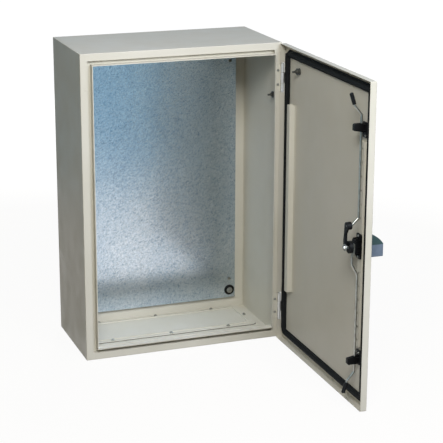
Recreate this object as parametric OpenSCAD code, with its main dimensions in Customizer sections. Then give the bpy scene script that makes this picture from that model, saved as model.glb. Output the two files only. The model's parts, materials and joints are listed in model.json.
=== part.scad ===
// Steel wall enclosure: a folded cabinet with a rain gutter round its front, a galvanised
// mounting plate, a gland plate in the floor, and a hinged door with a two-rod lock.
// Millimetres. +Z is up, +Y points at the wall, and the origin is the centre of the four
// wall-fixing holes on the back face. The door is drawn closed and then swung open.

/* [Cabinet] */
// Outside width of the cabinet
body_w = 800; // [700:10:1000]
// Outside height of the cabinet
body_h = 1200; // [1140:10:1500]
// Outside depth of the cabinet, without the door
body_d = 400; // [360:10:500]
// Thickness of the cabinet's sheet
sheet = 1.5; // [1:0.1:2]
// Outer radius of the folded edges
fold_r = 3; // [2.5:0.1:5]
// Depth of the back panel's welded rim
rim_d = 8; // [5:1:9]

/* [Front frame] */
// Width of the front flange beside the gutter
flange_w = 28; // [22:1:34]
// Clear width of the rain gutter
gutter_w = 15; // [10:1:20]
// Depth of the rain gutter behind the flange's face
gutter_d = 20; // [14:1:24]
// Thickness of the hemmed sealing lip
lip_t = 3; // [2:0.5:4]
// Height of the sealing lip in front of the flange
lip_h = 11; // [8:0.5:13]
// Width of the flange on the hinge side, up to the lip
hinge_flange_w = 28; // [26:1:30]

/* [Wall fixing] */
// Distance from the cabinet's sides to the wall-fixing holes
fixing_side = 100; // [92:2:130]
// Distance from the cabinet's top and bottom to the wall-fixing holes
fixing_end = 70; // [66:1:76]
// Diameter of the wall-fixing holes
fixing_hole_d = 10; // [7:0.5:13]

/* [Mounting plate] */
// Distance from the cabinet's sides to the mounting plate
plate_side = 45; // [38:1:70]
// Distance from the cabinet's top and bottom to the mounting plate
plate_end = 50; // [46:1:90]
// Thickness of the mounting plate
plate_t = 2.5; // [2:0.5:4]
// Stand-off of the plate from the back panel
plate_standoff = 15; // [10:1:30]
// Distance of the fixings from the plate's side edges
plate_hole_side = 25; // [22:1:40]
// Distance of the fixings from the plate's top and bottom edges
plate_hole_end = 33; // [24:1:50]
// Diameter of the spare holes beside the fixings
spare_hole_d = 14; // [6:1:16]
// Distance of the spare holes from the fixings
spare_hole_pitch = 49; // [36:1:70]
// Diameter of the plate's studs
plate_stud_d = 8; // [6:1:8]

/* [Gland plate] */
// Distance from the cabinet's sides to the gland plate
gland_side = 32; // [28:1:60]
// Front-to-back size of the gland plate
gland_d = 236; // [200:2:250]
// Thickness of the gland plate
gland_t = 2; // [1.5:0.5:3]
// Thickness of the gland plate's seal
gland_seal_t = 2; // [1.5:0.5:2.5]
// Corner radius of the gland plate
gland_r = 20; // [10:1:30]
// Distance of the screws from the gland plate's edge
gland_screw_edge = 12; // [9:1:14]
// Distance between the gland plate's screws across the cabinet
gland_screw_pitch = 247; // [200:1:250]

/* [Door] */
// How far the door stands open, 0 is closed
door_angle = 90; // [60:1:110]
// Gap between the flange and the door's edge
door_gap = 2; // [1.5:0.5:3]
// Depth of the door's folded edge
door_t = 25; // [23:1:30]
// Thickness of the door's sheet
door_sheet = 1.5; // [1:0.1:2]
// Set-back of the door's edge from the cabinet's sides
door_reveal = 2; // [1:0.5:3]
// Width of the door's seal
gasket_w = 25; // [23:1:26]
// Distance of the seal from the door's edge
gasket_edge = 23; // [22:0.5:24]
// Distance of the stiffening rails from the cabinet's top and bottom
rail_end = 225; // [225:5:240]
// Distance of the hinge-side rail from the cabinet's side
hinge_rail_x = 90; // [84:1:120]
// Pitch of the holes in the handle-side rail
rail_pitch = 50; // [25:5:75]

/* [Hinges] */
// Distance of the hinges' middles from the cabinet's top and bottom
hinge_end = 135; // [125:5:180]
// Length of one hinge
hinge_l = 110; // [80:2:130]
// Distance of the hinge axis from the cabinet's side
hinge_inset = 3; // [2.5:0.1:3.5]
// Distance of the hinge axis in front of the flange
hinge_out = 12; // [11:0.5:12.5]
// Outer diameter of the hinge knuckles
knuckle_d = 12; // [10:0.5:12.5]
// Diameter of the hinge pins
hinge_pin_d = 6; // [4:0.5:7]

/* [Lock] */
// Distance of the lock and its rods from the cabinet's side
lock_x = 76; // [75:1:100]
// Diameter of the lock rods
rod_d = 8; // [6:0.5:9]
// Travel of each rod for a quarter turn of the handle
rod_travel = 18; // [12:1:20]
// Length of the black caps on the rods
cap_l = 42; // [30:1:50]
// Diameter of the black caps on the rods
cap_d = 14; // [12:0.5:15]
// Slant of the rods' capped ends
cap_tilt = 18; // [8:1:20]
// Gap between the stiffening rail and the rod guides
guide_gap = 15; // [10:1:20]
// Length of the handle's grip
grip_l = 86; // [70:1:110]
// Height of the step between the handle's wedge and its grip
grip_step = 2; // [-10:1:10]
// How far the handle stands out from the door
handle_out = 74; // [62:1:80]

/* [Hidden] */

// Colours
paint = [0.80, 0.79, 0.73];
galvanised = [0.62, 0.72, 0.80];
zinc = [0.78, 0.78, 0.76];
black_plastic = [0.10, 0.10, 0.11];
seal_black = [0.06, 0.06, 0.06];
handle_grey = [0.20, 0.28, 0.28];
grip_grey = [0.58, 0.59, 0.67];

// Fits and small gaps
eps = 0.5;               // how far a cutting tool runs past a face
run_gap = 0.05;          // radial clearance of a pin or rod in its bore
soft_gap = 0.3;          // gap between the seal and the sealing lip
screw_gap = 0.25;        // radial clearance of a screw in its hole
end_gap = 0.5;           // end clearance of knuckles and of the cam

// Cabinet planes
back_in = -sheet;                        // inner face of the back panel
front = -body_d;                         // face of the front flange
lip_front = front - lip_h;               // tip of the sealing lip
gutter_back = front + gutter_d;          // rear face of the gutter
floor_in = -body_h / 2 + sheet;          // inner face of the floor
side_in = body_w / 2 - sheet;            // inner face of the hinge-side wall
lip_s = flange_w + gutter_w;             // side of the cabinet to the lip
frame_w = lip_s + lip_t;                 // side of the cabinet to the clear opening
hinge_frame_w = hinge_flange_w + lip_t;  // the same on the hinge side
fixing_w = body_w - 2 * fixing_side;
fixing_h = body_h - 2 * fixing_end;

// Mounting plate
plate_w = body_w - 2 * plate_side;
plate_h = body_h - 2 * plate_end;
plate_back = back_in - plate_standoff;
plate_front = plate_back - plate_t;
stud_x = plate_w / 2 - plate_hole_side;
stud_z = plate_h / 2 - plate_hole_end;
cup_t = 5;
cup_d = 44;
cup_rim_t = 1.5;
cup_rim = 4;                             // width of the cup washer's rim on the plate
cup_wall = 2.5;
washer_t = 2;
plate_washer_d = 24;
spacer_d = 20;
plate_r = 3;
nut_t = 6.5;
nut_af = 13;
nut_r = nut_af / 2 / cos(30);
stud_end = plate_front - cup_t - washer_t - nut_t - 5;

// Gland plate
gland_w = body_w - 2 * gland_side;
gland_y = -rim_d - 2 - gland_d / 2;
gland_z = floor_in + gland_seal_t;
gland_land = 24;                         // width of the sealing land round the opening
bead_in = 21;                            // edge of the plate to the pressed bead
bead_w = 8;
bead_h = 3;
gland_screw_d = 6;
gland_washer_t = 1.6;
gland_washer_d = 16;
gland_head_t = 4;
gland_head_d = 11.5;
gland_screws_at = concat(
    [for (i = [-1 : 1], s = [-1, 1]) [i * gland_screw_pitch, s * (gland_d / 2 - gland_screw_edge)]],
    [for (s = [-1, 1]) [s * (gland_w / 2 - gland_screw_edge), 0]]
);

// Spare hinge holes in the handle-side flange
spare_plug_d = 7;
plug_head_t = 1.2;
plug_l = 4;
spare_plug_x = -body_w / 2 + flange_w - sheet - spare_plug_d / 2 - 2;

// Earth studs
earth_d = 8;
earth_l = 30;
earth_washer_t = 2.5;
earth_washer_d = 26;
earth_y = front + 64;
earth_z = body_h / 2 - 215;
door_earth_x = body_w / 2 - 140;
door_earth_z = body_h / 2 - 88;

// Door, closed
door_front = front - door_gap - door_t;
door_in = door_front + door_sheet;       // inner face of the door's skin
door_edge = front - door_gap;            // edge of the folded return
door_w = body_w - 2 * door_reveal;
door_h = body_h - 2 * door_reveal;
gasket_t = lip_front - soft_gap - door_in;
gasket_s = door_reveal + gasket_edge;      // cabinet's side to the seal
rail_l = body_h - 2 * rail_end;
rail_w = 28;
rail_t = 1.5;
rail_d = 10.5;
rail_foot = 8;
stiff_w = 25;
stiff_d = 23;
rail_hole_d = 9;

// Hinge axis and knuckles
hinge_x = body_w / 2 - hinge_inset;
hinge_y = front - hinge_out;
hinge_z = body_h / 2 - hinge_end;
door_knuckle_d = knuckle_d + 1;
mid_knuckle = hinge_l * 0.38;
end_knuckle = (hinge_l - mid_knuckle) / 2 - end_gap;
leaf_t = 2.5;
web_t = 3;
leaf_x0 = body_w / 2 - hinge_flange_w + 1;
leaf_x1 = hinge_x - 2;
hinge_window = hinge_l / 2 + 3;          // half length of the door's cut-out
hinge_screw_d = 5;
hinge_head_t = 2;
hinge_nut_t = 4;
door_leaf_w = 11;
window_w = 4;                            // width of the door's cut-out in from its side

// Lock, closed. The depths grow from the door's skin into the cabinet.
lock_u = -body_w / 2 + lock_x;
rod_v = door_in + rail_d + 3 + rod_d / 2;  // axis of a rod along the rail
cap_r = cap_d / 2 / cos(cap_tilt);
cap_v = gutter_back + 1.5 + cap_r - (rod_travel + 7) * tan(cap_tilt);
cap_base = body_h / 2 - frame_w - cap_l - 3;
pin_c = rod_travel / (PI / 2);             // side distance of a drive pin from the spindle
pin_d = 6;
pin_slack = 0.35;                          // radial clearance of a drive pin in the cam
spindle_d = 10;
spindle_hole_d = spindle_d + 8;            // hole for it in the door's skin and rail
square_a = 8;                              // square part of the spindle
bar_in = square_a / 2 * sqrt(2) + 0.8;     // spindle to the edge of a driven bar
bar_out = 2 * pin_c - bar_in;              // spindle to the bar's far edge
bar_foot = -rod_travel / 2 - 5;            // end of a driven bar beyond its pin
bar_knee = 20;
bar_bulge = 5;
bar_neck = 48;
blade_v0 = door_in + 35.5;                 // the lower rod's flat end
blade_v1 = blade_v0 + 6;
cam_v0 = blade_v1 + 1;
cam_v1 = cam_v0 + 12;
bar_v0 = cam_v1 + 1;                       // the upper rod's drive bar
bar_v1 = bar_v0 + 9;
cam_d = 44;
boss_d = 25;
boss_t = 4;
cam_head_t = 5;
eye_z = 78;                                // hole for the upper rod's hooked end
eye_r = 14;
eye_depth = 9;                             // how far the eye stands out of the drive bar
hook_l = 12;                               // depth of the rod's hooked end in front of the bar
blade_z = 34;                              // the lower rod's round part starts in its blade
blade_bend = 66;
elbow_z = 104;                             // start of the rods' straight run along the rail
elbow_extra = 0.4;                         // how much thicker an elbow is than its rod
cap_lead = 6;                              // rod in line with its cap before the cap starts
slant_h = 32;                              // height of the rod's run from the rail to its cap
cap_nose = 3;                              // rounded end of a cap
rod_in_cap = cap_l - cap_nose;
housing_base = door_in + rail_d;
housing_top = blade_v0 - 1.5;
housing_w = 36;
housing_h = 60;
housing_flange_t = 5;
housing_r = 5;
rib_out = 4;                               // how far the housing's ribs stand out of its core
rib_t = 3;
lock_screw_z = 38;
lock_screw_d = 5;
lock_head_t = 3;
guide_h = 54;
guide_w = 30;
guide_top = door_in + 48;
guide_nose = 24;                           // height of the guide's nose at its tip
guide_root = 34;                           // height of the nose where it meets the foot
guide_nose_w = 14;
guide_edge = 3;                            // the foot's corner radius and its edge past the nose
guide_foot_t = 5;
guide_bevel = 5;
gusset_h = 24;                             // height of the gussets beside the nose
guide_stud_x = 10;
guide_stud_z = 19;
guide_stud_d = 4;
guide_nut_t = 3.5;
guide_nut_d = 8;
guide_z = rail_l / 2 + guide_gap + guide_h / 2;
escutcheon_t = 6;
escutcheon_w = 46;
escutcheon_h = 104;
escutcheon_r = 10;
hub_d = 30;
hub_l = 14;
square_in = 4;                             // depth of the spindle's square in the handle's grip
handle_v0 = door_front - escutcheon_t - end_gap;
grip_w = 24;
grip_crown = 6;                            // bulge of the wedge's sloping side
grip_r = 5;                                // round of the grip's outer lower edge
grip_edge = 3;                             // round of the handle's long edges

// ---------------------------------------------------------------- helpers

// Draws a flat shape in the X-Z plane and gives it depth from y0 to y1
module along_y(y0, y1) {
    translate([0, y1, 0]) rotate([90, 0, 0]) linear_extrude(y1 - y0) children();
}

// Draws a flat shape in the Y-Z plane and gives it depth from x0 to x1
module along_x(x0, x1) {
    translate([x0, 0, 0]) rotate([90, 0, 90]) linear_extrude(x1 - x0) children();
}

// Gives a flat shape in the X-Y plane height from z0 to z1
module along_z(z0, z1) {
    translate([0, 0, z0]) linear_extrude(z1 - z0) children();
}

// A block between two opposite corners
module block(a, b) {
    translate(a) cube(b - a);
}

// A cylinder that starts at y0 and ends at y1
module rod_y(x, z, y0, y1, d, fn = 48) {
    translate([x, y1, z]) rotate([90, 0, 0]) cylinder(h = y1 - y0, d = d, $fn = fn);
}

// A rectangle with rounded corners, centred
module round_square(w, h, r) {
    square([w - 2 * r, h], center = true);
    square([w, h - 2 * r], center = true);
    for (sx = [-1, 1], sy = [-1, 1])
        translate([sx * (w / 2 - r), sy * (h / 2 - r)]) circle(r = r, $fn = 48);
}

// The section of a box whose two front edges are folded round, from y = 0 to y = -d
module folded_section(w, d, r) {
    translate([-w / 2, -d + r]) square([w, d - r]);
    translate([-w / 2 + r, -d]) square([w - 2 * r, d]);
    for (s = [-1, 1]) translate([s * (w / 2 - r), -d + r]) circle(r = r, $fn = 48);
}

// A box with its long edges and its front edges rounded, front face at y = -d
module folded_box(w, h, d, r) {
    intersection() {
        along_y(-d, 0) round_square(w, h, r);
        along_z(-h / 2, h / 2) folded_section(w, d, r);
        along_x(-w / 2, w / 2) rotate(-90) folded_section(h, d, r);
    }
}

// The cabinet's outline set in by s, and by sh on the hinge side
module inset_rect(s, sh) {
    translate([-body_w / 2 + s, -body_h / 2 + s]) square([body_w - s - sh, body_h - 2 * s]);
}

// A frame between two insets, from y0 to y1
module frame_ring(y0, y1, s0, sh0, s1, sh1) {
    along_y(y0, y1) difference() {
        inset_rect(s0, sh0);
        inset_rect(s1, sh1);
    }
}

// Four copies, one in each corner, of a part drawn in the upper right corner
module four_corners() {
    for (mx = [0, 1], mz = [0, 1]) mirror([mx, 0, 0]) mirror([0, 0, mz]) children();
}

// Swings what is drawn on the closed door to where the door stands
module on_door() {
    translate([hinge_x, hinge_y, 0]) rotate(door_angle) translate([-hinge_x, -hinge_y, 0])
        children();
}

// A hexagon nut on an axis along Y, from y0 to y1
module nut_y(x, z, y0, y1, bore) {
    difference() {
        rod_y(x, z, y0, y1, 2 * nut_r, 6);
        rod_y(x, z, y0 - eps, y1 + eps, bore);
    }
}

// A round washer on an axis along Y
module washer_y(x, z, y0, y1, d, bore) {
    difference() {
        rod_y(x, z, y0, y1, d);
        rod_y(x, z, y0 - eps, y1 + eps, bore);
    }
}

// A pan-head screw along Y: head from y0 to y1 towards -Y, shank back to y2
module screw_y(x, z, y0, y1, y2, head_d, shank_d) {
    rod_y(x, z, y0, y1, head_d);
    rod_y(x, z, y1, y2, shank_d);
}

// ---------------------------------------------------------------- cabinet

module body_wrapper() {
    color(paint) difference() {
        union() {
            difference() {
                folded_box(body_w, body_h, body_d, fold_r);
                along_y(front + sheet, eps)
                    round_square(body_w - 2 * sheet, body_h - 2 * sheet, fold_r - sheet);
                along_y(front - eps, front + 2 * sheet) inset_rect(flange_w, hinge_frame_w);
            }
            gutter();
        }
        gland_opening();
        spare_hinge_holes();
    }
}

// The rain gutter on three sides and the sealing lip all round
module gutter() {
    frame_ring(front + sheet, gutter_back, flange_w - sheet, sheet, flange_w, sheet);
    frame_ring(gutter_back - sheet, gutter_back, flange_w - sheet, sheet, frame_w, sheet);
    frame_ring(front + sheet, gutter_back, lip_s, sheet, lip_s + sheet, sheet);
    frame_ring(front, front + sheet, lip_s, hinge_flange_w, frame_w, hinge_frame_w);
    frame_ring(lip_front, front, lip_s, hinge_flange_w, frame_w, hinge_frame_w);
}

// The opening in the floor under the gland plate
module gland_opening() {
    translate([0, gland_y, -body_h / 2 - eps])
        linear_extrude(sheet + 2 * eps)
            round_square(gland_w - 2 * gland_land, gland_d - 2 * gland_land, gland_r / 2);
    for (p = gland_screws_at)
        translate([p[0], gland_y + p[1], -body_h / 2 - eps])
            cylinder(h = sheet + 2 * eps, d = gland_screw_d + 2 * screw_gap, $fn = 32);
}

// Holes for hanging the door on the other side
module spare_hinge_holes() {
    for (s = [-1, 1])
        rod_y(spare_plug_x, s * hinge_z, front - eps, front + sheet + eps,
            spare_plug_d + 2 * run_gap);
    for (z = [-1, 1], k = [-1, 1])
        rod_y(hinge_screw_x(), z * hinge_z + k * hinge_screw_pitch(), front - eps,
            front + sheet + eps, hinge_screw_d + 2 * screw_gap);
}

function hinge_screw_x() = (leaf_x0 + leaf_x1 - web_t) / 2;
function hinge_screw_pitch() = hinge_l / 4;

module back_panel() {
    panel_w = body_w - 2 * sheet;
    panel_h = body_h - 2 * sheet;
    rim_r = fold_r - sheet;
    color(paint) difference() {
        along_y(-rim_d, 0) round_square(panel_w, panel_h, rim_r);
        along_y(-rim_d - eps, -sheet) round_square(panel_w - 2 * sheet, panel_h - 2 * sheet, rim_r / 2);
        four_corners() rod_y(fixing_w / 2, fixing_h / 2, -2 * sheet, eps, fixing_hole_d);
    }
}

module plate_studs() {
    color(zinc) four_corners() rod_y(stud_x, stud_z, stud_end, back_in, plate_stud_d);
}

module plate_spacers() {
    color(zinc) four_corners()
        washer_y(stud_x, stud_z, plate_back, back_in, spacer_d, plate_stud_d + 2 * run_gap);
}

module mounting_plate() {
    color(galvanised) difference() {
        along_y(plate_front, plate_back) round_square(plate_w, plate_h, plate_r);
        four_corners() {
            rod_y(stud_x, stud_z, plate_front - eps, plate_back + eps,
                plate_stud_d + 2 * screw_gap);
            rod_y(stud_x, stud_z - spare_hole_pitch, plate_front - eps, plate_back + eps,
                spare_hole_d);
        }
    }
}

// Dished washers that press on the plate with their rims
module plate_cup_washers() {
    bore = plate_stud_d / 2 + run_gap;
    rim = cup_d / 2;
    color(black_plastic) four_corners() translate([stud_x, plate_front, stud_z])
        rotate([90, 0, 0]) rotate_extrude($fn = 64)
            polygon([[bore, cup_t - cup_wall], [rim / 2, cup_t - cup_wall], [rim - cup_rim, 0],
                [rim, 0], [rim, cup_rim_t], [rim / 2 + cup_rim, cup_t],
                [bore, cup_t]]);
}

module plate_washers() {
    y1 = plate_front - cup_t;
    color(zinc) four_corners()
        washer_y(stud_x, stud_z, y1 - washer_t, y1, plate_washer_d,
            plate_stud_d + 2 * run_gap);
}

module plate_nuts() {
    y1 = plate_front - cup_t - washer_t;
    color(zinc) four_corners()
        nut_y(stud_x, stud_z, y1 - nut_t, y1, plate_stud_d + 2 * run_gap);
}

// ---------------------------------------------------------------- gland plate

// A flat rounded sheet on the floor, inset by s from the gland plate's edge
module gland_sheet(s, z, t) {
    translate([0, gland_y, z]) linear_extrude(t)
        round_square(gland_w - 2 * s, gland_d - 2 * s, max(gland_r - s, bead_h));
}

module gland_gasket() {
    color(seal_black) difference() {
        gland_sheet(0, floor_in, gland_seal_t);
        gland_sheet(gland_land, floor_in - eps, gland_seal_t + 2 * eps);
        gland_screw_holes(floor_in - eps, gland_seal_t + 2 * eps);
    }
}

module gland_screw_holes(z, h) {
    for (p = gland_screws_at)
        translate([p[0], gland_y + p[1], z])
            cylinder(h = h, d = gland_screw_d + 2 * screw_gap, $fn = 32);
}

module gland_plate() {
    color(paint) difference() {
        union() {
            gland_sheet(0, gland_z, gland_t);
            difference() {
                gland_sheet(bead_in, gland_z + gland_t, bead_h);
                gland_sheet(bead_in + bead_w, gland_z + gland_t - eps, bead_h + 2 * eps);
            }
        }
        gland_screw_holes(gland_z - eps, gland_t + bead_h + 2 * eps);
    }
}

module gland_screws() {
    stack = sheet + gland_seal_t + gland_t;
    color(zinc) for (p = gland_screws_at)
        translate([p[0], gland_y + p[1], -body_h / 2]) {
            cylinder(h = stack, d = gland_screw_d, $fn = 32);
            translate([0, 0, stack]) cylinder(h = gland_washer_t, d = gland_washer_d, $fn = 48);
            translate([0, 0, stack + gland_washer_t])
                cylinder(h = gland_head_t, d = gland_head_d, $fn = 6);
        }
}

// ---------------------------------------------------------------- small cabinet parts

module spare_hole_plugs() {
    color(black_plastic) for (s = [-1, 1])
        screw_y(spare_plug_x, s * hinge_z, front - plug_head_t, front, front + plug_l,
            spare_plug_d + 2, spare_plug_d);
}

// An earth stud on the hinge-side wall, pointing into the cabinet
module body_earth_stud() {
    color(zinc) translate([side_in, earth_y, earth_z]) rotate([0, -90, 0])
        cylinder(h = earth_l, d = earth_d, $fn = 48);
}

// Two washers and two nuts on a stud that starts at the origin and points along Z
module earth_nuts(d) {
    difference() {
        union() {
            for (k = [0, 1]) translate([0, 0, k * (nut_t + earth_washer_t)]) {
                cylinder(h = earth_washer_t, d = earth_washer_d, $fn = 48);
                translate([0, 0, earth_washer_t]) cylinder(h = nut_t, r = nut_r, $fn = 6);
            }
        }
        translate([0, 0, -eps]) cylinder(h = earth_l, d = d + 2 * run_gap, $fn = 48);
    }
}

module body_earth_nuts() {
    color(zinc) translate([side_in, earth_y, earth_z]) rotate([0, -90, 0]) earth_nuts(earth_d);
}

// ---------------------------------------------------------------- hinges

module hinge_body_leaf(zc) {
    half = hinge_l / 2;
    color(paint) difference() {
        union() {
            block([leaf_x0, front - leaf_t, zc - half], [leaf_x1, front, zc + half]);
            for (s = [-1, 1]) {
                z0 = s > 0 ? zc + half - end_knuckle : zc - half;
                block([leaf_x1 - web_t, hinge_y, z0], [leaf_x1, front, z0 + end_knuckle]);
                translate([hinge_x, hinge_y, z0])
                    cylinder(h = end_knuckle, d = knuckle_d, $fn = 64);
            }
        }
        translate([hinge_x, hinge_y, zc - half - eps])
            cylinder(h = hinge_l + 2 * eps, d = hinge_pin_d + 2 * run_gap, $fn = 64);
        for (k = [-1, 1])
            rod_y(hinge_screw_x(), zc + k * hinge_screw_pitch(), front - leaf_t - eps,
                front + eps, hinge_screw_d + 2 * screw_gap, 32);
    }
}

module hinge_body_leaf_upper() { hinge_body_leaf(hinge_z); }
module hinge_body_leaf_lower() { hinge_body_leaf(-hinge_z); }

// The pins stay with the cabinet's leaves; their heads rest on the top knuckles
module hinge_pin(zc) {
    z0 = zc - hinge_l / 2 - 2;
    color(zinc) translate([hinge_x, hinge_y, z0]) {
        cylinder(h = hinge_l + 2, d = hinge_pin_d, $fn = 64);
        translate([0, 0, hinge_l + 2]) cylinder(h = 2, d = knuckle_d - 2, $fn = 64);
    }
}

module hinge_pin_upper() { hinge_pin(hinge_z); }
module hinge_pin_lower() { hinge_pin(-hinge_z); }

module hinge_screws() {
    y1 = front - leaf_t;
    nut_end = front + sheet + hinge_nut_t;
    color(zinc) for (s = [-1, 1], k = [-1, 1]) {
        z = s * hinge_z + k * hinge_screw_pitch();
        screw_y(hinge_screw_x(), z, y1 - hinge_head_t, y1, nut_end + 2 * hinge_head_t,
            2 * hinge_screw_d, hinge_screw_d);
        nut_y(hinge_screw_x(), z, front + sheet, nut_end, hinge_screw_d);
    }
}

module hinge_door_leaf(zc) {
    half = mid_knuckle / 2;
    x1 = door_w / 2 - fold_r;
    color(zinc) on_door() difference() {
        union() {
            block([x1 - door_leaf_w, door_in, zc - hinge_l / 2], [x1, door_in + leaf_t, zc + hinge_l / 2]);
            block([leaf_x1 - web_t, door_in, zc - half], [leaf_x1, hinge_y, zc + half]);
            translate([hinge_x, hinge_y, zc - half])
                cylinder(h = mid_knuckle, d = door_knuckle_d, $fn = 64);
        }
        translate([hinge_x, hinge_y, zc - half - eps])
            cylinder(h = mid_knuckle + 2 * eps, d = hinge_pin_d + 2 * run_gap, $fn = 64);
    }
}

module hinge_door_leaf_upper() { hinge_door_leaf(hinge_z); }
module hinge_door_leaf_lower() { hinge_door_leaf(-hinge_z); }

// ---------------------------------------------------------------- door

module door_skin() {
    color(paint) on_door() difference() {
        translate([0, door_edge, 0]) folded_box(door_w, door_h, door_t, fold_r);
        translate([0, door_edge + eps, 0])
            folded_box(door_w - 2 * door_sheet, door_h - 2 * door_sheet,
                door_t - door_sheet + eps, fold_r - door_sheet);
        for (s = [-1, 1])
            block([door_w / 2 - window_w, hinge_y - knuckle_d / 2 - 2, s * hinge_z - hinge_window],
                [door_w / 2 + eps, door_edge + eps, s * hinge_z + hinge_window]);
        rod_y(lock_u, 0, door_front - eps, door_in + eps, spindle_hole_d);
        lock_screw_holes(door_front - eps, door_in + eps);
    }
}

module lock_screw_holes(y0, y1) {
    for (s = [-1, 1]) rod_y(lock_u, s * lock_screw_z, y0, y1, lock_screw_d + 2 * screw_gap, 32);
}

// The seal lies over the sealing lip on all four sides
module door_gasket() {
    inner = gasket_s + gasket_w;
    color(seal_black) on_door()
        frame_ring(door_in, door_in + gasket_t, gasket_s, gasket_s, inner, inner);
}

// The section of a hat rail that stands on y = 0 and rises along +Y
module hat_section(w, d) {
    difference() {
        translate([-w / 2, 0]) square([w, d]);
        translate([-w / 2 + rail_t, -eps]) square([w - 2 * rail_t, d - rail_t + eps]);
    }
    for (s = [-1, 1]) translate([s * (w / 2 + rail_foot / 2), rail_t / 2])
        square([rail_foot + eps, rail_t], center = true);
}

module hinge_side_stiffener() {
    color(paint) on_door() translate([body_w / 2 - hinge_rail_x, door_in, -rail_l / 2])
        linear_extrude(rail_l) hat_section(stiff_w, stiff_d);
}

module handle_side_rail() {
    color(paint) on_door() difference() {
        translate([lock_u, door_in, -rail_l / 2]) linear_extrude(rail_l)
            hat_section(rail_w, rail_d);
        for (z = [-rail_l / 2 + rail_pitch / 2 : rail_pitch : rail_l / 2])
            if (abs(z) > housing_h)
                rod_y(lock_u, z, door_in + rail_t + eps, housing_base + eps, rail_hole_d);
        rod_y(lock_u, 0, door_in + rail_t + eps, housing_base + eps, spindle_hole_d);
        lock_screw_holes(door_in + rail_t, housing_base + eps);
    }
}

module door_earth_stud() {
    color(zinc) on_door()
        rod_y(door_earth_x, door_earth_z, door_in, door_in + earth_l, earth_d);
}

module door_earth_nuts() {
    color(zinc) on_door() translate([door_earth_x, door_in, door_earth_z])
        rotate([-90, 0, 0]) earth_nuts(earth_d);
}

// ---------------------------------------------------------------- lock on the door

module escutcheon() {
    color(black_plastic) on_door() difference() {
        translate([lock_u, 0, 0]) along_y(door_front - escutcheon_t, door_front)
            round_square(escutcheon_w, escutcheon_h, escutcheon_r);
        rod_y(lock_u, 0, door_front - escutcheon_t - eps, door_front + eps,
            spindle_d + 2 * run_gap);
        lock_screw_holes(door_front - escutcheon_t + 2, door_front + eps);
    }
}

// Moulded housing: a flange, a core and the ribs round it
module lock_housing() {
    flange_top = housing_base + housing_flange_t;
    color(black_plastic) on_door() difference() {
        translate([lock_u, 0, 0]) {
            along_y(housing_base, flange_top) round_square(housing_w, 2 * lock_screw_z + 3 * lock_screw_d,
                housing_r);
            along_y(housing_base, housing_top)
                round_square(housing_w - 2 * rib_out, housing_h - 2 * rib_out, housing_r);
            along_y(housing_base, housing_top - rib_t) {
                for (k = [-1 : 1]) translate([0, k * (housing_h / 2 - rib_out - rib_t)])
                    square([housing_w, rib_t], center = true);
                for (k = [-1, 1]) translate([k * (housing_w / 2 - rib_out - rib_t), 0])
                    square([rib_t, housing_h], center = true);
            }
        }
        rod_y(lock_u, 0, housing_base - eps, housing_top + eps, spindle_d + 2 * run_gap);
        lock_screw_holes(housing_base - eps, flange_top + eps);
    }
}

module lock_screws() {
    y1 = housing_base + housing_flange_t;
    color(zinc) on_door() for (s = [-1, 1]) {
        rod_y(lock_u, s * lock_screw_z, door_front - escutcheon_t + 2, y1, lock_screw_d, 32);
        rod_y(lock_u, s * lock_screw_z, y1, y1 + lock_head_t, 2 * lock_screw_d - 1, 32);
    }
}

// A rod guide: a foot on the door's skin and a tall nose with the rod's bore
module rod_guide() {
    tall = guide_top - door_in;
    top = guide_h / 2 - guide_edge;
    color(black_plastic) difference() {
        union() {
            along_y(0, guide_foot_t) round_square(guide_w, guide_h, guide_edge);
            along_x(-guide_nose_w / 2, guide_nose_w / 2)
                polygon([[0, top - guide_root], [tall, top - guide_nose],
                    [tall, top - guide_bevel], [tall - guide_bevel, top], [0, top]]);
            for (s = [-1, 1], z = [-guide_edge, top - 2 * guide_edge]) along_z(z, z + guide_edge)
                polygon([[0, 0], [s * (guide_w / 2 - 1), 0], [s * (guide_w / 2 - 1), guide_foot_t],
                    [s * guide_nose_w / 2, gusset_h], [0, gusset_h]]);
        }
        translate([0, rod_v - door_in, -guide_h / 2 - eps])
            cylinder(h = guide_h + 2 * eps, d = rod_d + 2 * run_gap, $fn = 64);
        for (s = [-1, 1])
            rod_y(s * guide_stud_x, -guide_stud_z, -eps, guide_foot_t + eps,
                guide_stud_d + 2 * screw_gap, 32);
    }
}

// Places what belongs to the upper guide, drawn on the skin round the origin
module at_guide() {
    on_door() translate([lock_u, door_in, guide_z]) children();
}

// The same for the lower guide, turned half round
module at_lower_guide() {
    on_door() translate([lock_u, door_in, -guide_z]) half_turn() children();
}

module rod_guide_upper() { at_guide() rod_guide(); }
module rod_guide_lower() { at_lower_guide() rod_guide(); }

// Studs welded to the door's skin, with the nuts that hold a guide
module guide_studs() {
    y0 = guide_foot_t;
    for (s = [-1, 1]) {
        rod_y(s * guide_stud_x, -guide_stud_z, 0, y0 + guide_nut_t, guide_stud_d, 32);
        difference() {
            rod_y(s * guide_stud_x, -guide_stud_z, y0, y0 + guide_nut_t, guide_nut_d, 6);
            rod_y(s * guide_stud_x, -guide_stud_z, y0 - eps, y0 + guide_nut_t + eps,
                guide_stud_d - eps, 32);
        }
    }
}

module guide_screws() {
    color(zinc) {
        at_guide() guide_studs();
        at_lower_guide() guide_studs();
    }
}

// ---------------------------------------------------------------- handle and cam

// Places a part of the lock that turns about the spindle, drawn round the origin
module at_lock() {
    on_door() translate([lock_u, 0, 0]) children();
}

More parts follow.
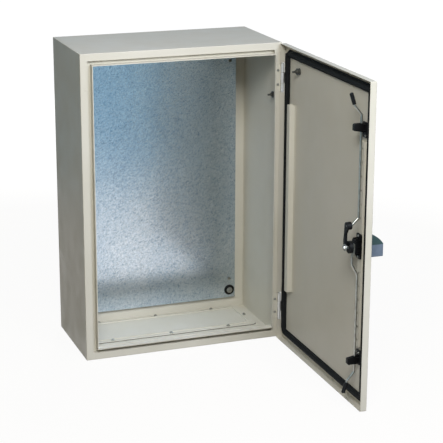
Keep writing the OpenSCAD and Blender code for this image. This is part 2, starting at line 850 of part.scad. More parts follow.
// The handle's outline seen from the side, filled from its step to z1
module handle_side(z0, z1) {
    base = handle_v0 - hub_l;
    out = door_front - handle_out;
    drop = grip_l / 2 - grip_step - 2;
    chord = norm([base - out, drop]);
    r = (chord * chord / 4 + grip_crown * grip_crown) / (2 * grip_crown);
    intersection() {
        translate([out, z0]) square([base - out, z1 - z0]);
        union() {
            translate([out, -grip_l / 2 + grip_r]) square([base - out, grip_l / 2 + grip_step - grip_r]);
            translate([out + grip_r, -grip_l / 2]) square([base - out - grip_r, grip_l / 2]);
            translate([out + grip_r, -grip_l / 2 + grip_r]) circle(r = grip_r, $fn = 48);
            translate([(base + out) / 2 + (r - grip_crown) * drop / chord,
                grip_l / 2 - drop / 2 - (r - grip_crown) * (base - out) / chord])
                circle(r = r, $fn = 96);
        }
    }
}

// Gives the handle its width and rounds its long edges
module handle_body(z0, z1) {
    intersection() {
        along_x(-grip_w / 2, grip_w / 2) handle_side(z0, z1);
        along_y(door_front - handle_out - eps, handle_v0) round_square(grip_w, grip_l, grip_edge);
    }
}

// The wedge-shaped upper half of the handle, with the round hub under it
module handle() {
    base = handle_v0 - hub_l;
    color(handle_grey) at_lock() difference() {
        union() {
            rod_y(0, 0, base - eps, handle_v0, hub_d);
            handle_body(grip_step, grip_l / 2);
        }
        along_y(base - square_in, handle_v0 + eps) square(square_a + 2 * run_gap, center = true);
    }
}

// The block-shaped lower half of the grip, set against the wedge
module handle_grip() {
    base = handle_v0 - hub_l;
    color(grip_grey) at_lock() difference() {
        handle_body(-grip_l / 2, grip_step);
        along_y(base - square_in, base + eps) square(square_a + 2 * run_gap, center = true);
        rod_y(0, 0, base - eps, handle_v0, hub_d);
    }
}

module lock_spindle() {
    color(zinc) at_lock() {
        along_y(handle_v0 - hub_l - square_in, handle_v0) square(square_a, center = true);
        rod_y(0, 0, handle_v0, cam_v0, spindle_d);
        along_y(cam_v0, bar_v1 + end_gap) square(square_a, center = true);
    }
}

// Where the upper drive pin stands, seen from the cam, after a turn of a degrees
function cam_point(a) = [
    pin_c * cos(a) + (a / 90 - 0.5) * rod_travel * sin(a),
    -pin_c * sin(a) + (a / 90 - 0.5) * rod_travel * cos(a)
];

module lock_cam() {
    color(black_plastic) at_lock() difference() {
        rod_y(0, 0, cam_v0, cam_v1, cam_d, 64);
        along_y(cam_v0 - eps, cam_v1 + eps) {
            square(square_a + 2 * run_gap, center = true);
            for (s = [0, 180], a = [0 : 15 : 90])
                rotate(s) translate(cam_point(a)) circle(d = pin_d + 2 * pin_slack, $fn = 48);
        }
    }
}

// A screw with a broad boss, which holds the cam and the drive bar on the spindle
module cam_screw() {
    y0 = bar_v1 + end_gap;
    color(zinc) at_lock() {
        rod_y(0, 0, y0, y0 + boss_t, boss_d);
        rod_y(0, 0, y0 + boss_t, y0 + boss_t + cam_head_t, nut_r * 2, 6);
    }
}

// ---------------------------------------------------------------- rods

// A round bar along flat points [v, z], with a rounded elbow at each inner point
module bent_bar(pts, d) {
    n = len(pts);
    for (i = [0 : n - 2]) {
        leg = pts[i + 1] - pts[i];
        translate([0, pts[i][0], pts[i][1]]) rotate([-atan2(leg[0], leg[1]), 0, 0])
            cylinder(h = norm(leg), d = d, $fn = 48);
        if (i > 0) translate([0, pts[i][0], pts[i][1]]) sphere(d = d + elbow_extra, $fn = 48);
    }
}

// The part of a rod that both have: from its bend beside the lock to inside its cap
function outer_run() = [
    [rod_v, elbow_z], [rod_v, cap_base - cap_lead - slant_h],
    [cap_v - cap_lead * tan(cap_tilt), cap_base - cap_lead],
    [cap_v + rod_in_cap * sin(cap_tilt), cap_base + rod_in_cap * cos(cap_tilt)]
];

// Black cap on the rod's slanted end, which wedges behind the gutter
module rod_cap() {
    translate([0, cap_v, cap_base]) rotate([-cap_tilt, 0, 0]) difference() {
        union() {
            cylinder(h = cap_l - cap_nose, d = cap_d, $fn = 64);
            translate([0, 0, cap_l - cap_nose])
                cylinder(h = cap_nose, d1 = cap_d, d2 = cap_d - 2 * cap_nose, $fn = 64);
        }
        translate([0, 0, -eps])
            cylinder(h = rod_in_cap + 2 * eps, d = rod_d + 2 * run_gap, $fn = 64);
    }
}

// Turns the upper rod's parts into the lower rod's
module half_turn() {
    mirror([0, 0, 1]) mirror([1, 0, 0]) children();
}

// Bent into the drive bar's eye
module upper_rod() {
    color(zinc) at_lock()
        bent_bar(concat([[bar_v1 - 1, eye_z], [bar_v0 - hook_l, eye_z]], outer_run()), rod_d);
}

// A bar beside the spindle, with an eye for the rod and a pin that runs in the cam
module drive_bar() {
    color(black_plastic) at_lock() difference() {
        union() {
            along_y(bar_v0, bar_v1)
                polygon([[bar_in, bar_foot], [bar_out, bar_foot], [bar_out + bar_bulge, bar_knee],
                    [bar_out, bar_neck], [eye_r, eye_z], [-eye_r, eye_z], [bar_in, bar_neck]]);
            rod_y(0, eye_z, bar_v0 - eye_depth, bar_v1, 2 * eye_r, 64);
            rod_y(pin_c, -rod_travel / 2, cam_v0 + 1, bar_v0 + eps, pin_d);
        }
        rod_y(0, eye_z, bar_v0 - eye_depth - eps, bar_v1 + eps, rod_d + 2 * run_gap);
    }
}

// Ends in a flat blade with a pin that runs in the cam
module lower_rod() {
    mid = (blade_v0 + blade_v1) / 2;
    color(zinc) at_lock() half_turn() {
        bent_bar(concat([[mid, blade_z], [mid, blade_bend]], outer_run()), rod_d);
        along_y(blade_v0, blade_v1)
            polygon([[-rod_d / 2, blade_z + rod_d], [rod_d / 2, blade_z + rod_d],
                [bar_out, blade_z - rod_d], [bar_out, bar_foot], [bar_in, bar_foot],
                [bar_in, bar_knee], [-rod_d / 2, blade_z - rod_d / 2]]);
        rod_y(pin_c, -rod_travel / 2, blade_v1 - eps, cam_v1 - 1, pin_d);
    }
}

module upper_rod_cap() { color(black_plastic) at_lock() rod_cap(); }
module lower_rod_cap() { color(black_plastic) at_lock() half_turn() rod_cap(); }

body_wrapper();
back_panel();
plate_studs();
plate_spacers();
mounting_plate();
plate_cup_washers();
plate_washers();
plate_nuts();
gland_gasket();
gland_plate();
gland_screws();
spare_hole_plugs();
body_earth_stud();
body_earth_nuts();
hinge_body_leaf_upper();
hinge_body_leaf_lower();
hinge_pin_upper();
hinge_pin_lower();
hinge_screws();
hinge_door_leaf_upper();
hinge_door_leaf_lower();
door_skin();
door_gasket();
hinge_side_stiffener();
handle_side_rail();
door_earth_stud();
door_earth_nuts();
escutcheon();
lock_housing();
lock_screws();
rod_guide_upper();
rod_guide_lower();
guide_screws();
handle();
handle_grip();
lock_spindle();
lock_cam();
cam_screw();
upper_rod();
drive_bar();
upper_rod_cap();
lower_rod();
lower_rod_cap();
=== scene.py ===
import json
import math

import bmesh
import bpy
from mathutils import Matrix, Vector

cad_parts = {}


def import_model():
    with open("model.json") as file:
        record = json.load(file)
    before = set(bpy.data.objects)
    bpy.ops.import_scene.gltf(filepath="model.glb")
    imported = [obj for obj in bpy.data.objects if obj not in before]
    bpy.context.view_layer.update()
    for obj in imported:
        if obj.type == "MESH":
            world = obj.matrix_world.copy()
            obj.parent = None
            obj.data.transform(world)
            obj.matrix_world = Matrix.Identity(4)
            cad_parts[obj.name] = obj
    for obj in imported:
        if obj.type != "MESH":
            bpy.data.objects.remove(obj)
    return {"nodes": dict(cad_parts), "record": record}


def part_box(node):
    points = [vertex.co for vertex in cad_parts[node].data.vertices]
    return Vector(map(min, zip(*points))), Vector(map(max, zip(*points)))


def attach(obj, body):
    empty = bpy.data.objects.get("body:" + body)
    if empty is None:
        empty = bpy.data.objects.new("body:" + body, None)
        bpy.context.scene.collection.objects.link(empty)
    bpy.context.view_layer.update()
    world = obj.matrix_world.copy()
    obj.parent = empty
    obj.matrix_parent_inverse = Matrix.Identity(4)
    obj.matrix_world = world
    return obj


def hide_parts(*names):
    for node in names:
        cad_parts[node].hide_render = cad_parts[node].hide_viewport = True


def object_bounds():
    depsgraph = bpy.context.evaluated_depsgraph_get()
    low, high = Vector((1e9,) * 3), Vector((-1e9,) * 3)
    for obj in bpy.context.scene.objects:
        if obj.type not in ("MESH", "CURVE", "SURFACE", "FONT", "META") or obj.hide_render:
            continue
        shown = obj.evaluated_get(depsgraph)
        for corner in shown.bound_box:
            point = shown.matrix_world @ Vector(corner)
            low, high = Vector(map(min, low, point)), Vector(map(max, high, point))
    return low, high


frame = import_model()
cad_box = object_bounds()

MM = 0.001
BODY_OF = {
    name: body for body, names in frame["record"]["behaviour"]["bodies"].items() for name in names}
SLOT_OF = {part["node"]: part["material_slot"] for part in frame["record"]["subparts"]}
SLOT_OF["spare_hole_plugs"] = "painted_steel"  # the plugs are coated with the cabinet


# ---------------------------------------------------------------- finishes

def colour(r, g, b):
    """A colour given in the 0-255 values that a paint card prints."""
    def linear(c):
        c = c / 255
        return c / 12.92 if c <= 0.04045 else ((c + 0.055) / 1.055) ** 2.4
    return linear(r), linear(g), linear(b), 1.0


def blended(tree, kind, factor, first, second):
    """Mixes two colours. Each value is a number, a colour or another node's output."""
    node = tree.nodes.new("ShaderNodeMix")
    node.data_type = "RGBA"
    node.blend_type = kind
    for socket, value in zip((node.inputs[0], node.inputs[6], node.inputs[7]), (factor, first, second)):
        if isinstance(value, bpy.types.NodeSocket):
            tree.links.new(value, socket)
        else:
            socket.default_value = value
    return node.outputs[2]


class Finish:
    """A material under construction, with short calls for the nodes that all finishes share."""

    def __init__(self, name, base, roughness, metallic=0.0):
        self.material = bpy.data.materials.new(name)
        self.material.use_nodes = True
        self.nodes = self.material.node_tree.nodes
        self.links = self.material.node_tree.links
        self.shader = self.nodes["Principled BSDF"]
        self.shader.inputs["Base Color"].default_value = base
        self.shader.inputs["Roughness"].default_value = roughness
        self.shader.inputs["Metallic"].default_value = metallic
        self.place = self.nodes.new("ShaderNodeTexCoord").outputs["Object"]

    def stretched(self, scale):
        """The piece's own coordinates, drawn out along the axis with the small number."""
        mapping = self.nodes.new("ShaderNodeMapping")
        mapping.inputs["Scale"].default_value = scale
        self.links.new(self.place, mapping.inputs["Vector"])
        return mapping.outputs["Vector"]

    def noise(self, scale, detail, place=None):
        node = self.nodes.new("ShaderNodeTexNoise")
        node.inputs["Scale"].default_value = scale
        node.inputs["Detail"].default_value = detail
        self.links.new(place or self.place, node.inputs["Vector"])
        return node.outputs["Fac"]

    def crystals(self, scale, place):
        """Red, Green and Blue values that are each even over a crystal and change at its edge."""
        cells = self.nodes.new("ShaderNodeTexVoronoi")
        cells.inputs["Scale"].default_value = scale
        self.links.new(place, cells.inputs["Vector"])
        parted = self.nodes.new("ShaderNodeSeparateColor")
        self.links.new(cells.outputs["Color"], parted.inputs["Color"])
        return parted.outputs

    def ramp(self, value, stops):
        node = self.nodes.new("ShaderNodeValToRGB")
        node.color_ramp.elements[0].position = stops[0][0]
        node.color_ramp.elements[0].color = stops[0][1]
        node.color_ramp.elements[1].position = stops[-1][0]
        node.color_ramp.elements[1].color = stops[-1][1]
        for position, shade in stops[1:-1]:
            node.color_ramp.elements.new(position).color = shade
        self.links.new(value, node.inputs["Fac"])
        return node.outputs["Color"]

    def spread(self, value, low, high, start=0.0, end=1.0):
        node = self.nodes.new("ShaderNodeMapRange")
        node.inputs["From Min"].default_value = start
        node.inputs["From Max"].default_value = end
        node.inputs["To Min"].default_value = low
        node.inputs["To Max"].default_value = high
        self.links.new(value, node.inputs["Value"])
        return node.outputs["Result"]

    def mix(self, kind, factor, first, second):
        return blended(self.material.node_tree, kind, factor, first, second)

    def paint_with(self, shade):
        self.links.new(shade, self.shader.inputs["Base Color"])

    def gloss_with(self, value):
        self.links.new(value, self.shader.inputs["Roughness"])

    def grain_with(self, height, depth, strength=1.0):
        bump = self.nodes.new("ShaderNodeBump")
        bump.inputs["Distance"].default_value = depth
        bump.inputs["Strength"].default_value = strength
        self.links.new(height, bump.inputs["Height"])
        self.links.new(bump.outputs["Normal"], self.shader.inputs["Normal"])


def powder_coat():
    """Pale grey powder coat with a fine orange peel."""
    finish = Finish("powder_coat", colour(214, 211, 200), 0.42)
    finish.paint_with(finish.ramp(finish.noise(3.0, 3.0), [
        (0.3, colour(209, 205, 191)), (0.7, colour(217, 213, 201))]))
    finish.gloss_with(finish.spread(finish.noise(14.0, 3.0), 0.36, 0.5, 0.3, 0.7))
    finish.grain_with(finish.noise(700.0, 2.0), 0.00025, 0.5)
    finish.shader.inputs["Specular IOR Level"].default_value = 0.28
    return finish.material


def spangled_zinc():
    """Hot-dip zinc: coarse crystals with finer ones between, each with its own shade, gloss and tilt."""
    finish = Finish("spangled_zinc", colour(176, 190, 202), 0.32, 1.0)
    ragged = finish.mix("MIX", 0.1, finish.place, finish.noise(160.0, 2.0))
    coarse = finish.crystals(235.0, ragged)
    fine = finish.crystals(540.0, ragged)
    shade = finish.ramp(coarse["Red"], [
        (0.0, colour(112, 140, 158)), (0.25, colour(206, 219, 230)), (0.6, colour(234, 240, 245)),
        (1.0, colour(255, 255, 255))])
    speck = finish.ramp(fine["Green"], [
        (0.0, colour(196, 206, 216)), (0.25, colour(240, 243, 246)), (1.0, colour(255, 255, 255))])
    drift = finish.ramp(finish.noise(3.0, 3.0, place=finish.stretched((1.0, 1.0, 0.35))), [
        (0.3, colour(222, 232, 242)), (0.7, colour(255, 255, 255))])
    finish.paint_with(finish.mix("MULTIPLY", 1.0, finish.mix("MULTIPLY", 1.0, shade, speck), drift))
    finish.gloss_with(finish.spread(coarse["Green"], 0.1, 0.22))
    finish.grain_with(coarse["Blue"], 0.0003, 0.22)
    return finish.material


def plating(name, base, roughness, metallic, clouds, cloud_scale, gloss, gloss_scale, grain_scale):
    """Zinc plating: cloudy in colour and in gloss, over a fine grain."""
    finish = Finish(name, base, roughness, metallic)
    finish.paint_with(finish.ramp(finish.noise(cloud_scale, 3.0), clouds))
    finish.gloss_with(finish.spread(finish.noise(gloss_scale, 3.0), *gloss))
    finish.grain_with(finish.noise(grain_scale, 2.0), 0.0001, 0.4)
    return finish.material


def bright_zinc():
    return plating(
        "bright_zinc", colour(205, 204, 196), 0.3, 0.9,
        clouds=[(0.3, colour(146, 144, 136)), (0.7, colour(182, 181, 174))], cloud_scale=60.0,
        gloss=(0.22, 0.4), gloss_scale=180.0, grain_scale=900.0)


def dulled_zinc():
    """A darker zinc with a rougher gloss, worn by the earth fixings."""
    return plating(
        "dulled_zinc", colour(96, 94, 88), 0.42, 0.85,
        clouds=[(0.3, colour(72, 70, 66)), (0.75, colour(118, 116, 108))], cloud_scale=140.0,
        gloss=(0.34, 0.52), gloss_scale=300.0, grain_scale=1200.0)


def white_zinc():
    """The pale passivated plating of the hinge barrels."""
    return plating(
        "white_zinc", colour(228, 228, 226), 0.32, 0.25,
        clouds=[(0.3, colour(216, 216, 214)), (0.7, colour(236, 236, 235))], cloud_scale=90.0,
        gloss=(0.24, 0.42), gloss_scale=240.0, grain_scale=1200.0)


def moulded(name, base, lighter, roughness, sheen=0.5):
    """Moulded plastic, a little uneven in colour and gloss."""
    finish = Finish(name, base, roughness)
    finish.shader.inputs["Specular IOR Level"].default_value = sheen
    finish.paint_with(finish.ramp(finish.noise(45.0, 3.0), [(0.35, base), (0.75, lighter)]))
    finish.gloss_with(finish.spread(finish.noise(120.0, 2.0), roughness - 0.06, roughness + 0.08))
    finish.grain_with(finish.noise(1100.0, 2.0), 0.0001, 0.5)
    return finish.material


def seal_foam():
    """Matt black poured foam with an open grain."""
    finish = Finish("seal_foam", colour(12, 12, 12), 0.8)
    finish.paint_with(finish.ramp(finish.noise(60.0, 4.0), [
        (0.3, colour(8, 8, 8)), (0.8, colour(20, 20, 20))]))
    finish.grain_with(finish.noise(500.0, 4.0), 0.0004, 0.6)
    finish.shader.inputs["Specular IOR Level"].default_value = 0.25
    return finish.material


FINISHES = {
    "painted_steel": powder_coat(),
    "galvanised_steel": spangled_zinc(),
    "zinc_steel": bright_zinc(),
    "black_plastic": moulded("black_plastic", colour(9, 9, 10), colour(17, 17, 18), 0.5, 0.22),
    "seal_foam": seal_foam(),
    "handle_plastic": moulded("handle_plastic", colour(48, 70, 70), colour(58, 80, 80), 0.4),
    "grip_plastic": moulded("grip_plastic", colour(98, 110, 126), colour(110, 122, 138), 0.4),
}
FINISH_OF = {name: FINISHES[slot] for name, slot in SLOT_OF.items()}
FINISH_OF.update(dict.fromkeys(
    ("body_earth_stud", "body_earth_nuts", "door_earth_stud", "door_earth_nuts"), dulled_zinc()))


def dress_nodes():
    """Gives each solid of the frame its finish."""
    for name, node in frame["nodes"].items():
        node.data.materials.clear()
        node.data.materials.append(FINISH_OF[name])


# ---------------------------------------------------------------- making

WELD = 2e-6  # the frame's loose triangles meet within this
FLAT = math.radians(0.5)
SHARP = math.radians(30)


def finished(name, mesh, node, stands_for=None, finish=None, crease=35):
    """Turns the mesh into a piece that wears the node's finish, unless it has its own, and moves with
    the node's body. It stands for that node, or for the nodes that are named."""
    data = bpy.data.meshes.new(name)
    mesh.to_mesh(data)
    mesh.free()
    data.shade_smooth()
    data.set_sharp_from_angle(angle=math.radians(crease))
    data.materials.append(finish or FINISH_OF[node])
    piece = bpy.data.objects.new(name, data)
    bpy.context.scene.collection.objects.link(piece)
    shading = piece.modifiers.new("flat_faces_stay_flat", "WEIGHTED_NORMAL")
    shading.keep_sharp = True
    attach(piece, BODY_OF[node])
    for replaced in [node] if stands_for is None else stands_for:
        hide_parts(replaced)
    return piece


def copy_of(node):
    """The node's shape as one closed skin with its flat faces whole."""
    mesh = bmesh.new()
    mesh.from_mesh(frame["nodes"][node].data)
    bmesh.ops.remove_doubles(mesh, verts=mesh.verts, dist=WELD)
    bmesh.ops.dissolve_limit(mesh, angle_limit=FLAT, verts=mesh.verts, edges=mesh.edges)
    return mesh


def eased(mesh, edges, width, segments):
    bmesh.ops.bevel(
        mesh, geom=edges, offset=width, offset_type="OFFSET", segments=segments, profile=0.5,
        affect="EDGES", clamp_overlap=True, material=-1)


def rounded(mesh, width, segments=2):
    """Breaks the sharp edges, as a press, a mould or a file leaves them."""
    sharp = [edge for edge in mesh.edges if edge.is_manifold and edge.calc_face_angle(0.0) > SHARP]
    eased(mesh, sharp, width, segments)
    return mesh


# how far the edges of each solid are broken, in millimetres
SOFT_EDGES = {
    "plate_cup_washers": 0.5, "plate_washers": 0.3, "plate_nuts": 0.5, "plate_spacers": 0.4,
    "spare_hole_plugs": 0.4, "body_earth_nuts": 0.4, "door_earth_nuts": 0.4,
    "hinge_body_leaf_upper": 0.5, "hinge_body_leaf_lower": 0.5,
    "hinge_pin_upper": 0.8, "hinge_pin_lower": 0.8,
    "hinge_door_leaf_upper": 0.5, "hinge_door_leaf_lower": 0.5,
    "escutcheon": 0.8, "lock_housing": 0.8, "rod_guide_upper": 0.8, "rod_guide_lower": 0.8,
    "handle": 1.0, "handle_grip": 1.0, "lock_spindle": 0.4, "lock_cam": 0.8,
    "drive_bar": 0.8, "upper_rod_cap": 0.8, "lower_rod_cap": 0.8,
    "handle_side_rail": 0.4, "hinge_side_stiffener": 0.5, "mounting_plate": 0.5, "gland_plate": 0.5,
    "door_skin": 0.5, "body_wrapper": 0.5, "back_panel": 0.5,
}


def soft_edged_parts():
    for node, width in SOFT_EDGES.items():
        finished(node + "_eased", rounded(copy_of(node), width * MM), node)


def edges_in(made):
    return [item for item in made if isinstance(item, bmesh.types.BMEdge)]


def ring_bead(profile, across, along, corner):
    """A bead of that profile laid round a rectangle with round corners, in the XY plane. The profile
    is a closed outline of (outwards, up) points about the bead's own line, which runs at half across
    and half along."""
    mesh = bmesh.new()
    x, y = across / 2, along / 2
    points = [mesh.verts.new((x + out, corner - y, up)) for out, up in profile]
    section = [mesh.edges.new((points[i - 1], points[i])) for i in range(len(points))]
    for centre, side, run in (
            ((x - corner, y - corner, 0), (0, 1, 0), along),
            ((corner - x, y - corner, 0), (-1, 0, 0), across),
            ((corner - x, corner - y, 0), (0, -1, 0), along),
            ((x - corner, corner - y, 0), (1, 0, 0), across)):
        made = bmesh.ops.extrude_edge_only(mesh, edges=section)["geom"]
        section = edges_in(made)
        ends = [item for item in made if isinstance(item, bmesh.types.BMVert)]
        bmesh.ops.translate(mesh, verts=ends, vec=Vector(side) * (run - 2 * corner))
        turned = bmesh.ops.spin(
            mesh, geom=section + ends, cent=centre, axis=(0, 0, 1), angle=math.pi / 2, steps=8,
            use_merge=False, use_duplicate=False)["geom_last"]
        section = edges_in(turned)
    bmesh.ops.remove_doubles(mesh, verts=mesh.verts, dist=1e-6)
    bmesh.ops.recalc_face_normals(mesh, faces=mesh.faces)
    return mesh


def middle(low, high):
    return (low + high) / 2


def sized(outline, width, height):
    return [(out * width, up * height) for out, up in outline]


# outlines of the two poured seals, as (outwards, up) shares of their width and height
DOOR_BEAD = [
    (-0.5, 0.0), (-0.5, 0.22), (-0.44, 0.38), (-0.36, 0.42), (-0.3, 0.34), (-0.25, 0.36), (-0.2, 0.6),
    (-0.12, 0.82), (0.0, 0.96), (0.12, 1.0), (0.26, 0.95), (0.38, 0.78), (0.46, 0.5), (0.5, 0.2),
    (0.7, 0.12), (0.7, 0.0)]
GLAND_BEAD = [
    (-0.5, 0.0), (-0.5, 0.7), (-0.4, 0.93), (-0.2, 1.0), (0.2, 1.0), (0.4, 0.93), (0.5, 0.7), (0.5, 0.0)]
DOOR_BEAD_WIDTH = 25 * MM
DOOR_BEAD_CORNER = 14 * MM
GLAND_BEAD_WIDTH = 14 * MM
GLAND_BEAD_CORNER = 9 * MM
# a black strip of painted shade fills the hinge-side recess between the bead and the fold
SHADE_STRIP_THICK = 5 * MM
SHADE_STRIP_EDGE = 4 * MM   # from the door's hinge edge to the black strip of painted shade beside the fold
SHADE_STRIP_LAP = 3 * MM    # how far that strip of painted shade laps the bead
SHADE_STRIP_ENDS = 15 * MM  # from the ends of the bead to the ends of that strip of painted shade


def painted_shade_strip(mesh, low, high):
    """A black strip between the bead and the fold on the hinge side: painted shade, put where that recess
    lies in shade.
    """
    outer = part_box("door_skin")[1].y - SHADE_STRIP_EDGE
    inner = high.y - SHADE_STRIP_LAP
    strip = bmesh.ops.create_cube(mesh, size=1.0)["verts"]
    bmesh.ops.scale(mesh, verts=strip, vec=(
        SHADE_STRIP_THICK, outer - inner, high.z - low.z - 2 * SHADE_STRIP_ENDS))
    bmesh.ops.translate(mesh, verts=strip, vec=(
        high.x - SHADE_STRIP_THICK / 2, middle(inner, outer), middle(low.z, high.z)))
    corners = set(strip)
    eased(mesh, [edge for edge in mesh.edges if corners.issuperset(edge.verts)], 2 * MM, 3)


def door_seal():
    """Poured foam: a domed bead with a lower shoulder towards the middle of the door, and beside the
    hinge-side fold a black strip of painted shade.
    """
    low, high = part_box("door_gasket")
    mesh = ring_bead(
        sized(DOOR_BEAD, DOOR_BEAD_WIDTH, high.x - low.x),
        high.y - low.y - DOOR_BEAD_WIDTH, high.z - low.z - DOOR_BEAD_WIDTH, DOOR_BEAD_CORNER)
    # local X runs along the door's width, local Z stands off its inner face
    stand = Matrix(((0, 0, -1), (1, 0, 0), (0, 1, 0))).to_4x4()
    place = Matrix.Translation((high.x, middle(low.y, high.y), middle(low.z, high.z)))
    bmesh.ops.transform(mesh, matrix=place @ stand, verts=mesh.verts)
    # the recess beside the hinge-side fold gets a black strip of painted shade
    painted_shade_strip(mesh, low, high)
    bmesh.ops.recalc_face_normals(mesh, faces=mesh.faces)
    finished("door_seal_and_shade_strip", mesh, "door_gasket", crease=60)


def gland_seal():
    """A flat foam bead under the gland plate."""
    low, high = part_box("gland_gasket")
    mesh = ring_bead(
        sized(GLAND_BEAD, GLAND_BEAD_WIDTH, high.z - low.z),
        high.x - low.x - GLAND_BEAD_WIDTH, high.y - low.y - GLAND_BEAD_WIDTH, GLAND_BEAD_CORNER)
    bmesh.ops.translate(mesh, verts=mesh.verts, vec=(middle(low.x, high.x), middle(low.y, high.y), low.z))
    finished("gland_seal_foamed", mesh, "gland_gasket", crease=60)


STUD_D = 8 * MM
PITCH = 1.25 * MM
THREAD_SINK = 0.1 * MM   # how far the thread's foot lies in the shank
THREAD_STAND = 0.22 * PITCH
FACETS = 16              # steps to a turn


def screw_thread(mesh, foot, along, length, diameter):
    """A raised thread that winds round a plain shank, from its foot to its tip."""
    side = Vector(along).orthogonal().normalized()
    root = diameter / 2 - THREAD_SINK
    crest = diameter / 2 + THREAD_STAND
    ridge = [
        mesh.verts.new(Vector(foot) + side * out + Vector(along) * up)
        for out, up in ((root, 0.0), (crest, 0.45 * PITCH), (root, 0.9 * PITCH))]
    edges = [mesh.edges.new((ridge[i - 1], ridge[i])) for i in range(3)]
    turns = int(length / PITCH) - 1
    bmesh.ops.contextual_create(mesh, geom=edges)
    wound = bmesh.ops.spin(
        mesh, geom=edges + ridge, cent=foot, axis=along, dvec=Vector(along) * PITCH / FACETS,
        angle=2 * math.pi * turns, steps=FACETS * turns, use_merge=False, use_duplicate=False)
    bmesh.ops.contextual_create(mesh, geom=edges_in(wound["geom_last"]))


def threaded(node, shanks):
    """The node's studs with a thread on each shank, given as (foot, direction, length, diameter)."""
    mesh = rounded(copy_of(node), 0.5 * MM)
    for shank in shanks:
        screw_thread(mesh, *shank)
    bmesh.ops.recalc_face_normals(mesh, faces=mesh.faces)
    finished(node + "_threaded", mesh, node)


def stud_threads():
    low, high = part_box("plate_studs")
    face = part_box("mounting_plate")[0].y
    radius = STUD_D / 2
    threaded("plate_studs", [
        ((x, face, z), (0, -1, 0), face - low.y, STUD_D)
        for x in (low.x + radius, high.x - radius) for z in (low.z + radius, high.z - radius)])
    plain = 4 * MM  # the foot of an earth stud has no thread
    for node in ("body_earth_stud", "door_earth_stud"):
        low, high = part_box(node)
        foot = (high.x - plain, middle(low.y, high.y), middle(low.z, high.z))
        threaded(node, [(foot, (-1, 0, 0), high.x - low.x - plain, high.y - low.y)])


# for each set of screws, the way its heads look out
HEADS = {
    "gland_screws": (0, 0, 1), "hinge_screws": (0, -1, 0), "lock_screws": (-1, 0, 0),
    "guide_screws": (-1, 0, 0), "cam_screw": (-1, 0, 0)}
SAME_FACE = 0.2 * MM  # heads that lie this close to the highest one are its equals


def socketed_heads():
    """Screw heads with their edges rounded and a socket pressed into each."""
    for node, towards in HEADS.items():
        mesh = copy_of(node)
        way = Vector(towards)
        top = max(vert.co.dot(way) for vert in mesh.verts)
        heads = [
            face for face in mesh.faces
            if face.normal.dot(way) > 0.99 and face.calc_center_median().dot(way) > top - SAME_FACE]
        size = math.sqrt(max(face.calc_area() for face in heads) / math.pi)
        for inwards, raised in ((0.22, 0.0), (0.22, 0.12), (0.05, -0.55)):
            bmesh.ops.inset_individual(mesh, faces=heads, thickness=inwards * size, depth=raised * size)
        finished(node + "_socketed", rounded(mesh, 0.12 * size), node)


BARREL_HALF = 55 * MM
DOOR_KNUCKLE_HALF = 0.38 * BARREL_HALF
KNUCKLE_GAP = 0.6 * MM
BODY_KNUCKLE_D = 12.6 * MM
DOOR_KNUCKLE_D = 13.6 * MM


def barrel(name, node, axis, low, high, diameter, finish):
    """A plated sleeve over a hinge knuckle, with its ends eased."""
    mesh = bmesh.new()
    bmesh.ops.create_cone(
        mesh, segments=48, cap_ends=True, cap_tris=False, radius1=diameter / 2, radius2=diameter / 2,
        depth=high - low, matrix=Matrix.Translation((*axis, middle(low, high))))
    finished(name, rounded(mesh, 1.2 * MM, segments=3), node, stands_for=[], finish=finish)


def hinge_barrels():
    """Three sleeves to a hinge: the outer two on the cabinet, the middle one on the door."""
    plated = white_zinc()
    for which in ("upper", "lower"):
        low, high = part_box("hinge_pin_" + which)
        axis = (middle(low.x, high.x), middle(low.y, high.y))
        centre = middle(low.z, high.z)
        name, leaf = "hinge_barrel_%s_" % which, "hinge_body_leaf_" + which
        near, far = DOOR_KNUCKLE_HALF + KNUCKLE_GAP, BARREL_HALF
        barrel(name + "top", leaf, axis, centre + near, centre + far, BODY_KNUCKLE_D, plated)
        barrel(name + "middle", "hinge_door_leaf_" + which, axis,
               centre - DOOR_KNUCKLE_HALF, centre + DOOR_KNUCKLE_HALF, DOOR_KNUCKLE_D, plated)
        barrel(name + "bottom", leaf, axis, centre - far, centre - near, BODY_KNUCKLE_D, plated)


# ---------------------------------------------------------------- studio

FLOOR_Z = cad_box[0][2] - 0.5 * MM
FLOOR_HALF = 14.0
FLOOR_SHADE = colour(120, 114, 103)
FLOOR_POOL = (1.9, 2.8)  # the floor's white fades out between these distances, in metres
WHITE = (1, 1, 1, 1)
NEAR_WHITE = (0.93, 0.93, 0.93, 1)
FILL = (0.14, 0.125, 0.10, 1)
SKY = (0.42, 0.60, 0.70, 1)


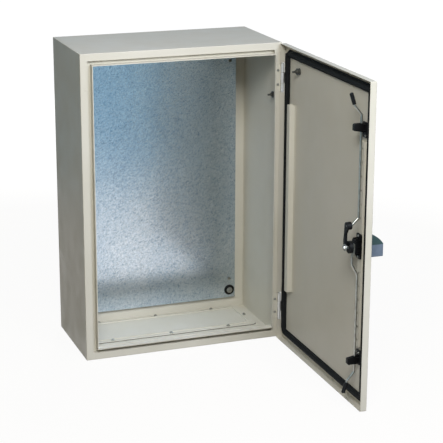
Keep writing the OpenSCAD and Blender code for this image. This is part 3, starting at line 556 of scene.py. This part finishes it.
def pale_floor():
    """White to the camera. Polished metal sees it white nearby and a cool grey further off."""
    finish = Finish("pale_floor", FLOOR_SHADE, 0.9)
    finish.grain_with(finish.noise(40.0, 2.0), 0.0002, 0.1)
    nodes, links = finish.nodes, finish.links
    path = nodes.new("ShaderNodeLightPath")
    distance = nodes.new("ShaderNodeVectorMath")
    distance.operation = "LENGTH"
    links.new(finish.place, distance.inputs[0])
    far = finish.spread(distance.outputs["Value"], 0.0, 1.0, *FLOOR_POOL)
    sheen = finish.mix("MIX", far, WHITE, SKY)
    pale = finish.mix("MIX", far, NEAR_WHITE, WHITE)

    def glowing(shade, strength, ray, share):
        glow = nodes.new("ShaderNodeEmission")
        glow.inputs["Strength"].default_value = strength
        links.new(shade, glow.inputs["Color"])
        weight = nodes.new("ShaderNodeMath")
        weight.operation = "MULTIPLY"
        weight.inputs[1].default_value = share
        links.new(path.outputs[ray], weight.inputs[0])
        return glow.outputs[0], weight.outputs[0]

    surface = finish.shader.outputs[0]
    for glow, weight in (
            glowing(pale, 1.34, "Is Camera Ray", 0.75),
            glowing(sheen, 1.0, "Is Glossy Ray", 1.0)):
        blend = nodes.new("ShaderNodeMixShader")
        links.new(weight, blend.inputs[0])
        links.new(surface, blend.inputs[1])
        links.new(glow, blend.inputs[2])
        surface = blend.outputs[0]
    links.new(surface, nodes["Material Output"].inputs["Surface"])
    return finish.material


def floor():
    mesh = bmesh.new()
    bmesh.ops.create_grid(
        mesh, x_segments=2, y_segments=2, size=FLOOR_HALF, matrix=Matrix.Translation((0, 0, FLOOR_Z)))
    data = bpy.data.meshes.new("studio_floor")
    mesh.to_mesh(data)
    mesh.free()
    plane = bpy.data.objects.new("studio_floor", data)
    bpy.context.scene.collection.objects.link(plane)
    data.materials.append(pale_floor())


def world():
    """White to the camera, a dim blue sky in reflections, and a low warm fill for the rest."""
    sky = bpy.data.worlds.new("studio")
    bpy.context.scene.world = sky
    sky.use_nodes = True
    nodes, links = sky.node_tree.nodes, sky.node_tree.links
    path = nodes.new("ShaderNodeLightPath")

    reflected = blended(sky.node_tree, "MIX", path.outputs["Is Glossy Ray"], FILL, SKY)
    seen = nodes.new("ShaderNodeMath")
    seen.operation = "MAXIMUM"
    links.new(path.outputs["Is Camera Ray"], seen.inputs[0])
    links.new(path.outputs["Is Transmission Ray"], seen.inputs[1])
    shown = blended(sky.node_tree, "MIX", seen.outputs[0], reflected, WHITE)
    links.new(shown, nodes["Background"].inputs["Color"])


def lamp(name, place, target, size, power, tint=(1, 1, 1)):
    data = bpy.data.lights.new(name, "AREA")
    data.shape = "RECTANGLE"
    data.size, data.size_y = size
    data.energy = power
    data.color = tint
    light = bpy.data.objects.new(name, data)
    light.location = place
    light.rotation_euler = (Vector(target) - Vector(place)).to_track_quat("-Z", "Y").to_euler()
    bpy.context.scene.collection.objects.link(light)


def lamps():
    lamp("front_light", (0.9, -4.3, 2.4), (0.1, 0, 0), (1.4, 1.4), 106, (0.9, 0.97, 1.1))
    lamp("near_side_light", (-0.9, -3.2, 2.4), (0.1, -0.4, 0), (1.2, 1.2), 86, (0.97, 0.975, 0.95))
    lamp("overhead_light", (0.4, -1.0, 4.0), (0.2, -0.2, 0), (1.6, 1.6), 10, (0.5, 0.42, 1.0))
    lamp("back_light", (1.6, 4.5, 0.0), (0, 0, 0), (1.1, 1.1), 105)


def camera():
    data = bpy.data.cameras.new("camera")
    data.lens = 122.4
    data.sensor_width = 36
    eye = bpy.data.objects.new("camera", data)
    eye.location = (-1.792, -5.688, 1.582)
    eye.rotation_euler = (math.radians(73.46), math.radians(-0.19), math.radians(-20.15))
    bpy.context.scene.collection.objects.link(eye)
    bpy.context.scene.camera = eye


dress_nodes()
soft_edged_parts()
door_seal()
gland_seal()
stud_threads()
socketed_heads()
hinge_barrels()
floor()
world()
lamps()
camera()
bpy.context.scene.view_settings.view_transform = "Standard"
